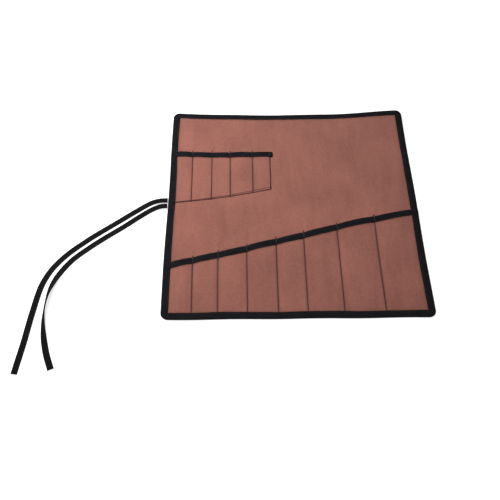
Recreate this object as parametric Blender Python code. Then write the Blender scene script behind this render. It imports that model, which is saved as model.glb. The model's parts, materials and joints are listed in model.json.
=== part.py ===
"""Unrolled brush roll case: a canvas panel bound with folded tape, a slanted bank of
brush pockets along its near edge, a short bank of small pockets at its far left, and
two tie tapes at its left edge.

The open case lies on z = 0 with its pockets up.  +X runs across the pockets from the
tie edge, +Y towards the far edge, and the origin is under the middle of the case.
The case rolls up from its right edge, so it is built as columns of cloth that fold
about the stitched lines between the brush pockets.
"""
import math

import bmesh
import bpy
from mathutils import Vector

MM = 0.001

# ---- driving sizes -------------------------------------------------------------
CASE_DEPTH = 390.0 * MM
POCKET_WIDTHS = [42.5, 36.5, 41.5, 43.0, 41.0, 50.5, 57.0, 68.0]   # mm, left to right
MOUTH_HEIGHT_LEFT = 91.5 * MM       # brush pocket mouth above the near edge
MOUTH_HEIGHT_RIGHT = 187.0 * MM
SMALL_POCKET_STITCHES = [35.0, 66.0, 95.0, 130.5]   # mm from the tie edge
SMALL_BANK_END = 159.0 * MM         # right seam of the small pockets
SMALL_TAPE_END = 162.6 * MM         # cut end of their mouth tape
SMALL_MOUTH_DROP = 84.8 * MM        # small pocket mouth below the far edge
SMALL_SEAM_DROP_LEFT = 190.0 * MM   # their bottom seam below the far edge
SMALL_SEAM_DROP_RIGHT = 164.0 * MM

CLOTH = 0.6 * MM                    # thickness of the canvas
TAPE = 0.6 * MM                     # thickness of the binding tape
TAPE_FOLD = 10.0 * MM               # width of tape that shows on each face
CORNER_RADIUS = 10.0 * MM

POCKET_RISE = 4.6 * MM              # how far a pocket front stands open
BRUSH_POCKET_SLOPE = 8.0 * MM       # width of the rise beside a stitched line
SMALL_POCKET_SLOPE = 6.0 * MM
POCKET_CROWN_MIN = 5.0 * MM         # flat crown that is left on a narrow pocket
POCKET_CELL_MIN = 14.5 * MM         # a narrower strip between stitches stays flat
BRUSH_POCKET_TAPER = 30.0 * MM      # length over which a front flattens to its seam
SMALL_POCKET_TAPER = 20.0 * MM

TIE_WIDTH = 9.0 * MM
TIE_THICKNESS = 0.8 * MM

# ---- clearances ----------------------------------------------------------------
LAYER_GAP = 0.3 * MM                # between layers of cloth or tape
FOLD_GAP = 0.4 * MM                 # between neighbouring columns
STITCH_MARGIN = 1.0 * MM            # flat strip beside a stitched line
FLOOR_GAP = 0.1 * MM                # under a tie that lies on the floor
CUTTER_OVERSHOOT = 2.0 * MM

# ---- colours -------------------------------------------------------------------
CANVAS = {"colour": (0.36, 0.135, 0.095, 1.0), "roughness": 0.85}
TAPE_BLACK = {"colour": (0.018, 0.018, 0.022, 1.0), "roughness": 0.75}

# ---- places worked out from the sizes above --------------------------------------
CASE_WIDTH = sum(POCKET_WIDTHS) * MM
LEFT = -CASE_WIDTH / 2
RIGHT = CASE_WIDTH / 2
NEAR = -CASE_DEPTH / 2
FAR = CASE_DEPTH / 2
EDGE_INSET = TAPE + LAYER_GAP       # from an outer edge to the cloth inside the tape
TAPE_CORNER = min(CORNER_RADIUS, TAPE_FOLD)
CORNER_INSIDE = TAPE_CORNER - EDGE_INSET        # corner radius of the cloth in the tape

PANEL_LOW = TAPE + LAYER_GAP
PANEL_TOP = PANEL_LOW + CLOTH
SEAM_LEVEL = PANEL_TOP + LAYER_GAP              # underside of a front at its seam
MOUTH_LEVEL = SEAM_LEVEL + TAPE + LAYER_GAP     # underside of a front in its mouth tape
FAR_TAPE_TOP = SEAM_LEVEL + TAPE
NEAR_TAPE_TOP = SEAM_LEVEL + CLOTH + LAYER_GAP + TAPE
SIDE_TAPE_TOP = MOUTH_LEVEL + CLOTH + LAYER_GAP + TAPE
FOLD_HEIGHT = SIDE_TAPE_TOP                     # hinge axes lie on top of the layers

ARC_STEPS = 6
STATION_STEP = 0.2 * MM             # stations across a front lie at least this far apart
FLAT_ENOUGH = 0.001 * MM            # height by which a flat face may be twisted
ROUTE_STEPS = 3

# Routes of the two ties: x, y and the height of the middle of the tape above z = 0 in
# mm, then how far the tape is turned about its own length, in degrees.
TIE_EXIT_Z = 2.1
TIE_BACK_ROUTE = [
    (0.0, 10.5, TIE_EXIT_Z, 0), (-8.0, 10.5, 1.9, 0), (-17.0, 9.4, 1.1, 0),
    (-28.0, 4.8, 0.6, 0), (-44.0, -6.5, 0.5, 0), (-68.0, -25.0, 0.5, 0),
    (-93.0, -44.0, 0.5, 0), (-117.0, -63.5, 0.5, 0), (-140.0, -85.0, 0.5, 0),
    (-158.0, -108.0, 0.5, 0), (-168.0, -130.0, 0.5, 0), (-173.0, -152.0, 0.5, 0),
    (-177.0, -188.0, 0.5, 0), (-181.0, -230.0, 0.5, 0), (-186.0, -272.0, 0.5, 0),
]
TIE_FRONT_ROUTE = [
    (0.0, 0.0, TIE_EXIT_Z, 0), (-8.0, -0.3, 1.9, 0), (-16.0, -2.2, 1.1, 0),
    (-26.0, -7.6, 0.6, 0), (-41.0, -19.0, 0.5, 0), (-62.0, -36.0, 0.5, 0),
    (-87.0, -55.5, 0.5, 0), (-111.0, -75.0, 0.5, 0), (-132.0, -95.0, 0.5, 0),
    (-147.0, -117.0, 0.7, 3), (-155.0, -137.0, 2.0, 20), (-158.5, -157.0, 3.7, 50),
    (-159.5, -178.0, 4.1, 60), (-158.0, -200.0, 3.3, 42), (-154.0, -222.0, 1.6, 14),
    (-147.5, -244.0, 0.6, 1), (-138.5, -266.0, 0.5, 0),
]


# ---- helpers -------------------------------------------------------------------
def clear_scene():
    for old in list(bpy.data.objects):
        bpy.data.objects.remove(old, do_unlink=True)


def new_collection(name):
    collection = bpy.data.collections.new(name)
    bpy.context.scene.collection.children.link(collection)
    return collection


def paint(part, finish):
    """Give the part a Principled material of its own."""
    material = bpy.data.materials.new(part.name + "_finish")
    material.use_nodes = True
    shader = material.node_tree.nodes["Principled BSDF"]
    shader.inputs["Base Color"].default_value = finish["colour"]
    shader.inputs["Roughness"].default_value = finish["roughness"]
    shader.inputs["Metallic"].default_value = 0.0
    part.data.materials.clear()
    part.data.materials.append(material)
    return part


def mesh_object(name, mesh_data, collection):
    part = bpy.data.objects.new(name, mesh_data)
    collection.objects.link(part)
    return part


def curve_to_mesh(curve_object, name, collection):
    """Turn a curve into a closed mesh whose caps are welded on."""
    bpy.context.view_layer.update()
    evaluated = curve_object.evaluated_get(bpy.context.evaluated_depsgraph_get())
    mesh_data = bpy.data.meshes.new_from_object(evaluated)
    shape = bmesh.new()
    shape.from_mesh(mesh_data)
    bmesh.ops.remove_doubles(shape, verts=shape.verts, dist=0.00001)
    bmesh.ops.recalc_face_normals(shape, faces=shape.faces)
    shape.to_mesh(mesh_data)
    shape.free()
    part = mesh_object(name, mesh_data, collection)
    part.matrix_world = curve_object.matrix_world.copy()
    bpy.data.objects.remove(curve_object, do_unlink=True)
    return part


def flat_outline(name, points, thickness, collection):
    """A closed 2-D outline, thickened equally on both sides of its plane."""
    data = bpy.data.curves.new(name, "CURVE")
    data.dimensions = "2D"
    data.fill_mode = "BOTH"
    data.extrude = thickness / 2
    spline = data.splines.new("POLY")
    spline.points.add(len(points) - 1)
    for point, (u, v) in zip(spline.points, points):
        point.co = (u, v, 0.0, 1.0)
    spline.use_cyclic_u = True
    outline = bpy.data.objects.new(name + "_outline", data)
    collection.objects.link(outline)
    return outline


def rounded_outline(x0, x1, y0, y1, left_radius, right_radius):
    """Rectangle whose two left or two right corners are rounded; 0 keeps them square."""
    corners = [
        (x1, y1, right_radius, 0.0), (x0, y1, left_radius, 90.0),
        (x0, y0, left_radius, 180.0), (x1, y0, right_radius, 270.0),
    ]
    points = []
    for x, y, radius, start in corners:
        if radius <= 0.0:
            points.append((x, y))
            continue
        cx = x - radius if x == x1 else x + radius
        cy = y - radius if y == y1 else y + radius
        for step in range(ARC_STEPS + 1):
            angle = math.radians(start + 90.0 * step / ARC_STEPS)
            points.append((cx + radius * math.cos(angle), cy + radius * math.sin(angle)))
    return points


def rounded_plate(name, x0, x1, y0, y1, z0, z1, left_radius, right_radius, collection):
    points = rounded_outline(x0, x1, y0, y1, left_radius, right_radius)
    outline = flat_outline(name, points, z1 - z0, collection)
    outline.location.z = (z0 + z1) / 2
    return curve_to_mesh(outline, name, collection)


def box(name, low, high, collection):
    """An axis-aligned box between two corners, made from the cube primitive."""
    size = [b - a for a, b in zip(low, high)]
    shape = bmesh.new()
    bmesh.ops.create_cube(shape, size=1.0)
    bmesh.ops.scale(shape, vec=size, verts=shape.verts)
    mesh_data = bpy.data.meshes.new(name)
    shape.to_mesh(mesh_data)
    shape.free()
    part = mesh_object(name, mesh_data, collection)
    part.location = [(a + b) / 2 for a, b in zip(low, high)]
    return part


def folded_strip(name, profile, x0, x1, collection):
    """A folded tape of one (y, z) section that runs straight along X."""
    outline = flat_outline(name, profile, x1 - x0, collection)
    outline.rotation_euler = (math.pi / 2, 0.0, math.pi / 2)
    outline.location.x = (x0 + x1) / 2
    return curve_to_mesh(outline, name, collection)


def add_quad(shape, a, b, c, d):
    """The face a-b-c-d, split along its higher diagonal if its corners aren't level, so
    that the two sides of a thin cloth are split alike and never cross."""
    rise = a.co.z + c.co.z - b.co.z - d.co.z
    if abs(rise) < FLAT_ENOUGH:
        shape.faces.new((a, b, c, d))
    elif rise > 0.0:
        shape.faces.new((a, b, c))
        shape.faces.new((a, c, d))
    else:
        shape.faces.new((a, b, d))
        shape.faces.new((b, c, d))


def loft(name, rings, collection):
    """A closed solid through rings of equally many points, capped at both ends."""
    shape = bmesh.new()
    loops = [[shape.verts.new(point) for point in ring] for ring in rings]
    count = len(loops[0])
    for first, second in zip(loops, loops[1:]):
        for i in range(count):
            j = (i + 1) % count
            add_quad(shape, first[i], first[j], second[j], second[i])
    shape.faces.new(reversed(loops[0]))
    shape.faces.new(loops[-1])
    bmesh.ops.recalc_face_normals(shape, faces=shape.faces)
    mesh_data = bpy.data.meshes.new(name)
    shape.to_mesh(mesh_data)
    shape.free()
    return mesh_object(name, mesh_data, collection)


def subtract(part, cutter):
    cut = part.modifiers.new("slot", "BOOLEAN")
    cut.operation = "DIFFERENCE"
    cut.solver = "EXACT"
    cut.object = cutter


def hide_cutter(cutter):
    cutter.hide_render = True
    cutter.display_type = "WIRE"


def smooth_route(points, steps):
    """Catmull-Rom curve through the points, with the given samples per stretch."""
    padded = [points[0] * 2 - points[1]] + points + [points[-1] * 2 - points[-2]]
    route = []
    for a, b, c, d in zip(padded, padded[1:], padded[2:], padded[3:]):
        for step in range(steps):
            t = step / steps
            route.append(0.5 * (
                b * 2 + (c - a) * t
                + (a * 2 - b * 5 + c * 4 - d) * t ** 2
                + (b * 3 - a - c * 3 + d) * t ** 3
            ))
    route.append(points[-1])
    return route


# ---- how far each pocket front stands open ------------------------------------------
def arch_knots(cells, widest_slope):
    """(x, openness) pairs: 0 along the stitched lines and 1 on each pocket's crown."""
    knots = []
    for x0, x1 in zip(cells, cells[1:]):
        knots.append((x0, 0.0))
        if x1 - x0 < POCKET_CELL_MIN:
            continue
        room = x1 - x0 - 2 * STITCH_MARGIN - POCKET_CROWN_MIN
        slope = min(widest_slope, room / 2)
        knots.append((x0 + STITCH_MARGIN, 0.0))
        knots.append((x0 + STITCH_MARGIN + slope, 1.0))
        knots.append((x1 - STITCH_MARGIN - slope, 1.0))
        knots.append((x1 - STITCH_MARGIN, 0.0))
    knots.append((cells[-1], 0.0))
    return knots


def stations(knots, x0, x1):
    """The knots between x0 and x1, with the two ends added."""
    def openness(x):
        for (xa, a), (xb, b) in zip(knots, knots[1:]):
            if xa <= x <= xb:
                return a + (b - a) * (x - xa) / (xb - xa)
        return 0.0
    inner = []
    for x, a in knots:
        last_x = inner[-1][0] if inner else x0
        if last_x + STATION_STEP < x < x1 - STATION_STEP:
            inner.append((x, a))
    return [(x0, openness(x0))] + inner + [(x1, openness(x1))]


def brush_mouth_y(x):
    share = (x - LEFT) / CASE_WIDTH
    return NEAR + MOUTH_HEIGHT_LEFT + share * (MOUTH_HEIGHT_RIGHT - MOUTH_HEIGHT_LEFT)


def small_mouth_y(x):
    return FAR - SMALL_MOUTH_DROP


def small_seam_y(x):
    share = (x - LEFT) / SMALL_BANK_END
    drop = SMALL_SEAM_DROP_LEFT + share * (SMALL_SEAM_DROP_RIGHT - SMALL_SEAM_DROP_LEFT)
    return FAR - drop


def brush_edge_y(x):
    """Near edge of the brush pocket fronts, rounded inside the tape's two corners."""
    radius = CORNER_INSIDE
    reach = EDGE_INSET + radius - min(x - LEFT, RIGHT - x)
    if reach <= 0.0:
        return NEAR + EDGE_INSET
    reach = min(reach, radius)
    return NEAR + EDGE_INSET + radius - math.sqrt(radius ** 2 - reach ** 2)


def corner_knots(edge, inward):
    """Stations round a corner of the brush pocket fronts, where they lie flat."""
    knots = []
    for step in range(ARC_STEPS + 1):
        angle = math.pi / 2 * step / ARC_STEPS
        reach = EDGE_INSET + CORNER_INSIDE * (1.0 - math.cos(angle))
        knots.append((edge + inward * reach, 0.0))
    return knots


def front_ring(x, openness, edge_y, flat_y, taper, mouth_y):
    """Section of a pocket front at x: flat at its seam, open from the taper's end on."""
    open_level = MOUTH_LEVEL + openness * POCKET_RISE
    rows = [
        (edge_y, SEAM_LEVEL), (flat_y, SEAM_LEVEL),
        (flat_y + taper, open_level), (mouth_y - EDGE_INSET, open_level),
    ]
    under = [Vector((x, y, z)) for y, z in rows]
    over = [Vector((x, y, z + CLOTH)) for y, z in reversed(rows)]
    return under + over


def mouth_tape_ring(x, openness, mouth_y):
    """Section of the tape folded over a pocket front's top edge at x."""
    under = MOUTH_LEVEL + openness * POCKET_RISE - LAYER_GAP
    over = under + CLOTH + 2 * LAYER_GAP
    inner = mouth_y - TAPE_FOLD
    section = [
        (inner, under - TAPE), (mouth_y, under - TAPE), (mouth_y, over + TAPE),
        (inner, over + TAPE), (inner, over), (mouth_y - TAPE, over),
        (mouth_y - TAPE, under), (inner, under),
    ]
    return [Vector((x, y, z)) for y, z in section]


def edge_profile(outer, inward, top):
    """(y, z) section of the tape folded over a straight edge of the panel."""
    inner = outer + inward * TAPE_FOLD
    wall = outer + inward * TAPE
    return [
        (outer, 0.0), (inner, 0.0), (inner, TAPE), (wall, TAPE),
        (wall, top - TAPE), (inner, top - TAPE), (inner, top), (outer, top),
    ]


# ---- the pieces ----------------------------------------------------------------
def side_tape(name, outer, inward, collection, cutters):
    """Tape folded over the whole left or right edge and round its two corners."""
    inner = outer + inward * TAPE_FOLD
    radius = TAPE_CORNER
    on_left = inward > 0
    tape = rounded_plate(
        name, min(outer, inner), max(outer, inner), NEAR, FAR, 0.0, SIDE_TAPE_TOP,
        radius if on_left else 0.0, 0.0 if on_left else radius, collection)
    wall = outer + inward * TAPE
    beyond = inner + inward * CUTTER_OVERSHOOT
    inside = radius - TAPE
    slot = rounded_plate(
        name + "_slot", min(wall, beyond), max(wall, beyond), NEAR + TAPE, FAR - TAPE,
        TAPE, SIDE_TAPE_TOP - TAPE,
        inside if on_left else 0.0, 0.0 if on_left else inside, cutters)
    hide_cutter(slot)
    subtract(tape, slot)
    return paint(tape, TAPE_BLACK)


def tie(name, route, collection):
    """A flat tape along its route, which starts at the outer face of the left edge."""
    start_x = LEFT - LAYER_GAP
    points = [Vector((start_x + x * MM, y * MM, z * MM, math.radians(turn)))
              for x, y, z, turn in route]
    samples = smooth_route(points, ROUTE_STEPS)
    data = bpy.data.curves.new(name, "CURVE")
    data.dimensions = "3D"
    data.twist_mode = "Z_UP"
    data.extrude = TIE_WIDTH / 2 - TIE_THICKNESS / 2
    data.bevel_depth = TIE_THICKNESS / 2
    data.bevel_resolution = 0
    data.use_fill_caps = True
    spline = data.splines.new("POLY")
    spline.points.add(len(samples) - 1)
    for point, sample in zip(spline.points, samples):
        lift = TIE_WIDTH / 2 * abs(math.sin(sample.w)) + TIE_THICKNESS / 2 + FLOOR_GAP
        point.co = (sample.x, sample.y, max(sample.z, lift), 1.0)
        point.tilt = math.pi / 2 + sample.w
    ribbon = bpy.data.objects.new(name + "_route", data)
    collection.objects.link(ribbon)
    return paint(curve_to_mesh(ribbon, name, collection), TAPE_BLACK)


def fold_lines():
    """X of each line that the case folds on: every stitched line between two brush
    pockets, and the middle of the widest pocket."""
    lines = []
    x = LEFT
    for width in POCKET_WIDTHS:
        if width == max(POCKET_WIDTHS):
            lines.append(x + width * MM / 2)
        x += width * MM
        lines.append(x)
    return lines[:-1]


def build():
    clear_scene()
    case = new_collection("brush_roll_case")
    cutters = new_collection("cutters")
    folds = fold_lines()
    bounds = [LEFT] + folds + [RIGHT]
    inner_left = LEFT + TAPE_FOLD
    inner_right = RIGHT - TAPE_FOLD
    brush_cells = [inner_left] + folds + [inner_right]
    brush_knots = corner_knots(LEFT, 1) + arch_knots(brush_cells, BRUSH_POCKET_SLOPE)
    brush_knots += reversed(corner_knots(RIGHT, -1))
    small_end = LEFT + SMALL_BANK_END
    small_lines = {LEFT + x * MM for x in SMALL_POCKET_STITCHES}
    small_lines |= {x for x in folds if x < small_end}
    small_cells = [inner_left] + sorted(small_lines) + [small_end]
    small_knots = arch_knots(small_cells, SMALL_POCKET_SLOPE)

    axis = None
    columns = len(bounds) - 1
    for index in range(columns):
        first = index == 0
        last = index == columns - 1
        number = str(index + 1)
        x0 = bounds[index] + (0.0 if first else FOLD_GAP / 2)
        x1 = bounds[index + 1] - (0.0 if last else FOLD_GAP / 2)
        cloth_x0 = x0 + (EDGE_INSET if first else 0.0)
        cloth_x1 = x1 - (EDGE_INSET if last else 0.0)
        tape_x0 = x0 + (TAPE_FOLD + LAYER_GAP if first else 0.0)
        tape_x1 = x1 - (TAPE_FOLD + LAYER_GAP if last else 0.0)
        pieces = []

        low = (cloth_x0, NEAR + EDGE_INSET, PANEL_LOW)
        high = (cloth_x1, FAR - EDGE_INSET, PANEL_TOP)
        if first or last:
            panel = rounded_plate(
                "back_panel_" + number, low[0], high[0], low[1], high[1], low[2], high[2],
                CORNER_INSIDE if first else 0.0, CORNER_INSIDE if last else 0.0, case)
        else:
            panel = box("back_panel_" + number, low, high, case)
        pieces.append(paint(panel, CANVAS))

        flat_y = NEAR + TAPE_FOLD + STITCH_MARGIN
        rings = [
            front_ring(x, a, brush_edge_y(x), flat_y, BRUSH_POCKET_TAPER, brush_mouth_y(x))
            for x, a in stations(brush_knots, cloth_x0, cloth_x1)]
        front = loft("brush_pocket_front_" + number, rings, case)
        pieces.append(paint(front, CANVAS))

        rings = [mouth_tape_ring(x, a, brush_mouth_y(x))
                 for x, a in stations(brush_knots, tape_x0, tape_x1)]
        mouth = loft("brush_pocket_mouth_tape_" + number, rings, case)
        pieces.append(paint(mouth, TAPE_BLACK))

        far_tape = folded_strip("far_edge_tape_" + number,
                                edge_profile(FAR, -1, FAR_TAPE_TOP), tape_x0, tape_x1, case)
        near_tape = folded_strip("near_edge_tape_" + number,
                                 edge_profile(NEAR, 1, NEAR_TAPE_TOP), tape_x0, tape_x1, case)
        pieces.append(paint(far_tape, TAPE_BLACK))
        pieces.append(paint(near_tape, TAPE_BLACK))

        if bounds[index] < small_end:
            front_x1 = min(cloth_x1, small_end)
            rings = [
                front_ring(x, a, small_seam_y(x), small_seam_y(x) + STITCH_MARGIN,
                           SMALL_POCKET_TAPER, small_mouth_y(x))
                for x, a in stations(small_knots, cloth_x0, front_x1)]
            front = loft("small_pocket_front_" + number, rings, case)
            pieces.append(paint(front, CANVAS))
            mouth_x1 = min(tape_x1, LEFT + SMALL_TAPE_END)
            rings = [mouth_tape_ring(x, a, small_mouth_y(x))
                     for x, a in stations(small_knots, tape_x0, mouth_x1)]
            mouth = loft("small_pocket_mouth_tape_" + number, rings, case)
            pieces.append(paint(mouth, TAPE_BLACK))

        if first:
            pieces.append(side_tape("left_edge_tape", LEFT, 1, case, cutters))
            pieces.append(tie("tie_tape_back", TIE_BACK_ROUTE, case))
            pieces.append(tie("tie_tape_front", TIE_FRONT_ROUTE, case))
            continue
        if last:
            pieces.append(side_tape("right_edge_tape", RIGHT, -1, case, cutters))

        fold = bpy.data.objects.new("fold_axis_" + str(index), None)
        fold.location = (bounds[index], 0.0, FOLD_HEIGHT)
        case.objects.link(fold)
        if axis is not None:
            fold.parent = axis
            fold.location = (bounds[index] - bounds[index - 1], 0.0, 0.0)
        axis = fold
        bpy.context.view_layer.update()
        for piece in pieces:
            piece.parent = fold
            piece.matrix_parent_inverse = fold.matrix_world.inverted()


build()
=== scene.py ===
"""Cloth, tape, stitching and ties of an open brush roll case, on a pale studio floor."""
import json
import math

import bmesh
import bpy
import numpy as np
from bpy.props import FloatProperty, FloatVectorProperty, IntProperty, PointerProperty
from mathutils import Matrix, Vector

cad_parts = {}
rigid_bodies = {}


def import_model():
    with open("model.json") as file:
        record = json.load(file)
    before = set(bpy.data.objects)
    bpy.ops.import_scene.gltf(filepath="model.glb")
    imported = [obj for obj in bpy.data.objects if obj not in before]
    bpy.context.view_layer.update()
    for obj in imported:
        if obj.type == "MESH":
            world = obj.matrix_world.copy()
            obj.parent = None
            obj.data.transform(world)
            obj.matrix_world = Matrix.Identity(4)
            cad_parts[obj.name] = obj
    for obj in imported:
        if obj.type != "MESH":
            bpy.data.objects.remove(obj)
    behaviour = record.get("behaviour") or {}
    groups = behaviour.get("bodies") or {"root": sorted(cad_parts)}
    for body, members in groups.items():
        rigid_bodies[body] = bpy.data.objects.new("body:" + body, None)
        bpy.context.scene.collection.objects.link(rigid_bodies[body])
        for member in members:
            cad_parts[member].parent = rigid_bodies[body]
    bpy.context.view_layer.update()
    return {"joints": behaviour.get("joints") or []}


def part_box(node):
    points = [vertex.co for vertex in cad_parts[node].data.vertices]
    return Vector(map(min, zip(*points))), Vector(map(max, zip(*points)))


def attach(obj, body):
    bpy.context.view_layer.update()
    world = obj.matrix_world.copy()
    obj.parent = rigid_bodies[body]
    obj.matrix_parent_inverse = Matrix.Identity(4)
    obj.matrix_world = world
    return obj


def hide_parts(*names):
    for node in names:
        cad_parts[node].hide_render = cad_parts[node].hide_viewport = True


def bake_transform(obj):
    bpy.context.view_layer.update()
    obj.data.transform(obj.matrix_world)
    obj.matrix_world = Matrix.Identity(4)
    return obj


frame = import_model()

bl_info = {
    "name": "Brush Roll Case",
    "version": (1, 0, 0),
    "blender": (4, 5, 0),
    "location": "View3D > Sidebar > Brush Roll",
    "description": "Builds the cloth, tape, stitching and ties of an open brush roll case",
    "category": "Object",
}

MM = 0.001


# ---- places, read from the frame -------------------------------------------------
def box_corner(node, which):
    return [float(value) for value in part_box(node)[which]]


LEFT, NEAR = box_corner("left_edge_tape", 0)[:2]
RIGHT, FAR = box_corner("right_edge_tape", 1)[:2]
WIDTH = RIGHT - LEFT
DEPTH = FAR - NEAR
JOINTS = frame["joints"]
FOLDS = [joint["pos_m"][0] for joint in JOINTS]
BODIES = [JOINTS[0]["parent"]] + [joint["child"] for joint in JOINTS]
ROOT = BODIES[0]
STITCHED = FOLDS[:-1]               # the last fold is in the middle of a pocket
COLUMN_EDGES = [LEFT] + FOLDS + [RIGHT]
MIDDLES = [(a + b) / 2 for a, b in zip(COLUMN_EDGES, COLUMN_EDGES[1:])]
PIECE_EDGES = [LEFT] + MIDDLES[1:-1] + [RIGHT]      # each piece crosses one fold
PIECES = len(FOLDS)


def line_through(first, second):
    """y as a linear function of x through two (x, y) points."""
    slope = (second[1] - first[1]) / (second[0] - first[0])
    return lambda x: first[1] + slope * (x - first[0])


brush_mouth = line_through(box_corner("brush_pocket_mouth_tape_2", 1),
                           box_corner("brush_pocket_mouth_tape_8", 1))
small_seam = line_through(box_corner("small_pocket_front_2", 0),
                          box_corner("small_pocket_front_4", 0))
SMALL_MOUTH = box_corner("small_pocket_mouth_tape_4", 1)[1]
SMALL_END = box_corner("small_pocket_front_4", 1)[0]
SMALL_TAPE_END = box_corner("small_pocket_mouth_tape_4", 1)[0]
SMALL_STITCHES = [LEFT + x * MM for x in (35.0, 66.0, 95.0, 130.5)]

# Heights of the layers above the floor, where they lie flat.
TAPE = 0.5 * MM
CLOTH = 0.55 * MM
TOUCH = 0.05 * MM
PANEL_LOW = TAPE + TOUCH
PANEL_TOP = PANEL_LOW + CLOTH
FOLD_WIDTH = 10.8 * MM              # width of tape that shows on each face
CORNER_RADIUS = 11.0 * MM
EDGE_WALL = 0.9 * MM                # from the outer edge of the tape to the cloth in it
UNDER_TAPE = 1.6 * MM               # how far a mouth tape runs in under the edge tape

PALE_LINT = (0.6, 0.38, 0.33)       # colour of worn flecks in the canvas
SHADE_BRIGHTNESS = 0.22                        # brightness left where the painted shade is deepest
BLACK_THREAD = (0.02, 0.02, 0.023)

# Routes of the two ties: x, y and the height of the middle of the tape above z = 0 in
# mm, then how far the tape is turned about its own length, in degrees.
TIE_EXIT_GAP = 0.3 * MM
TIE_BACK_ROUTE = [
    (0.0, 10.5, 2.1, 0), (-8.0, 10.5, 1.9, 0), (-17.0, 9.4, 1.1, 0),
    (-28.0, 4.8, 0.6, 0), (-44.0, -6.5, 0.5, 0), (-68.0, -25.0, 0.5, 0),
    (-93.0, -44.0, 0.5, 0), (-117.0, -63.5, 0.5, 0), (-140.0, -85.0, 0.5, 0),
    (-158.0, -108.0, 0.5, 0), (-168.0, -130.0, 0.5, 0), (-173.0, -152.0, 0.5, 0),
    (-177.0, -188.0, 0.5, 0), (-181.0, -230.0, 0.5, 0), (-186.0, -272.0, 0.5, 0),
]
TIE_FRONT_ROUTE = [
    (0.0, 0.0, 2.1, 0), (-8.0, -0.3, 1.9, 0), (-16.0, -2.2, 1.1, 0),
    (-26.0, -7.6, 0.6, 0), (-41.0, -19.0, 0.5, 0), (-62.0, -36.0, 0.5, 0),
    (-87.0, -55.5, 0.5, 0), (-111.0, -75.0, 0.5, 0), (-132.0, -95.0, 0.5, 0),
    (-147.0, -117.0, 0.7, 3), (-155.0, -137.0, 2.0, 20), (-158.5, -157.0, 3.7, 50),
    (-159.5, -178.0, 4.1, 60), (-158.0, -200.0, 3.3, 42), (-154.0, -222.0, 1.6, 14),
    (-147.5, -244.0, 0.6, 1), (-138.5, -266.0, 0.5, 0),
]


# ---- what a user would change ------------------------------------------------------
class CanvasSettings(bpy.types.PropertyGroup):
    colour: FloatVectorProperty(
        name="Canvas colour", description="Reddish brown of the woven canvas",
        subtype="COLOR", default=(0.385, 0.143, 0.107), min=0.0, max=1.0)
    grid: FloatProperty(
        name="Grid", description="Size of the faces that the cloth is made of",
        default=2.2 * MM, unit="LENGTH")
    wave: FloatProperty(
        name="Wave", description="Height of the slow waves in the lying cloth",
        default=0.55 * MM, unit="LENGTH")
    bow: FloatProperty(
        name="Bow", description="How far the middle of the far edge is drawn in",
        default=6.2 * MM, unit="LENGTH")
    thread: FloatProperty(
        name="Thread pitch", description="Distance between the threads of the weave",
        default=0.62 * MM, unit="LENGTH")


class PocketSettings(bpy.types.PropertyGroup):
    brush_fullness: FloatProperty(
        name="Brush pocket fullness", description="How far a brush pocket stands open",
        default=2.3 * MM, unit="LENGTH")
    small_fullness: FloatProperty(
        name="Small pocket fullness", description="How far a small pocket stands open",
        default=1.5 * MM, unit="LENGTH")


class TapeSettings(bpy.types.PropertyGroup):
    colour: FloatVectorProperty(
        name="Tape colour", description="Charcoal black of the binding tape",
        subtype="COLOR", default=(0.0105, 0.0105, 0.0125), min=0.0, max=1.0)
    dome: FloatProperty(
        name="Dome", description="How far the folded tape rises between its edges",
        default=0.28 * MM, unit="LENGTH")
    groove: FloatProperty(
        name="Groove", description="How deep the stitching pulls the tape down",
        default=0.2 * MM, unit="LENGTH")


class StitchSettings(bpy.types.PropertyGroup):
    colour: FloatVectorProperty(
        name="Thread colour", description="Dark thread on the canvas",
        subtype="COLOR", default=(0.022, 0.011, 0.01), min=0.0, max=1.0)
    pitch: FloatProperty(
        name="Stitch pitch", description="Distance from one stitch to the next",
        default=2.5 * MM, unit="LENGTH")
    length: FloatProperty(
        name="Stitch length", description="Length of one stitch",
        default=2.45 * MM, unit="LENGTH")
    thickness: FloatProperty(
        name="Thread thickness", description="Thickness of the sewing thread",
        default=1.2 * MM, unit="LENGTH")


class TieSettings(bpy.types.PropertyGroup):
    colour: FloatVectorProperty(
        name="Tie colour", description="Black of the two tie tapes",
        subtype="COLOR", default=(0.0095, 0.009, 0.0105), min=0.0, max=1.0)
    width: FloatProperty(
        name="Tie width", description="Width of a tie tape",
        default=9.0 * MM, unit="LENGTH")
    thickness: FloatProperty(
        name="Tie thickness", description="Thickness of a tie tape",
        default=0.7 * MM, unit="LENGTH")
    steps: IntProperty(
        name="Steps", description="Sections of tape between two points of its route",
        default=9, min=2)


class StageSettings(bpy.types.PropertyGroup):
    lens: FloatProperty(
        name="Lens", description="Focal length of the camera in millimetres",
        default=49.69, unit="CAMERA")
    tilt: FloatProperty(
        name="Camera tilt", description="How far the camera looks down",
        default=math.radians(56.62), subtype="ANGLE")
    roll: FloatProperty(
        name="Camera roll", description="How far the camera leans to one side",
        default=math.radians(-0.605), subtype="ANGLE")
    key_power: FloatProperty(
        name="Key power", description="Power of the large soft lamp",
        default=4.3)
    fill: FloatProperty(
        name="Fill", description="Brightness of the room round the case",
        default=0.13)


# ---- shape of the lying cloth --------------------------------------------------------
def smoothstep(t):
    t = np.clip(t, 0.0, 1.0)
    return t * t * (3.0 - 2.0 * t)


def swell(lines, x):
    """0 along the stitched lines, rising to 1 in the middle of each pocket, with a
    fullness that differs a little from pocket to pocket."""
    lines = np.asarray(lines)
    cell = np.clip(np.searchsorted(lines, x, side="right") - 1, 0, len(lines) - 2)
    a, b = lines[cell], lines[cell + 1]
    u = np.clip((x - a) / (b - a), 0.0, 1.0)
    variety = 0.85 + 0.3 * np.sin(2.3 * cell + 0.8)
    return variety * np.clip(4.0 * u * (1.0 - u), 0.0, 1.0) ** 0.65


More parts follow.
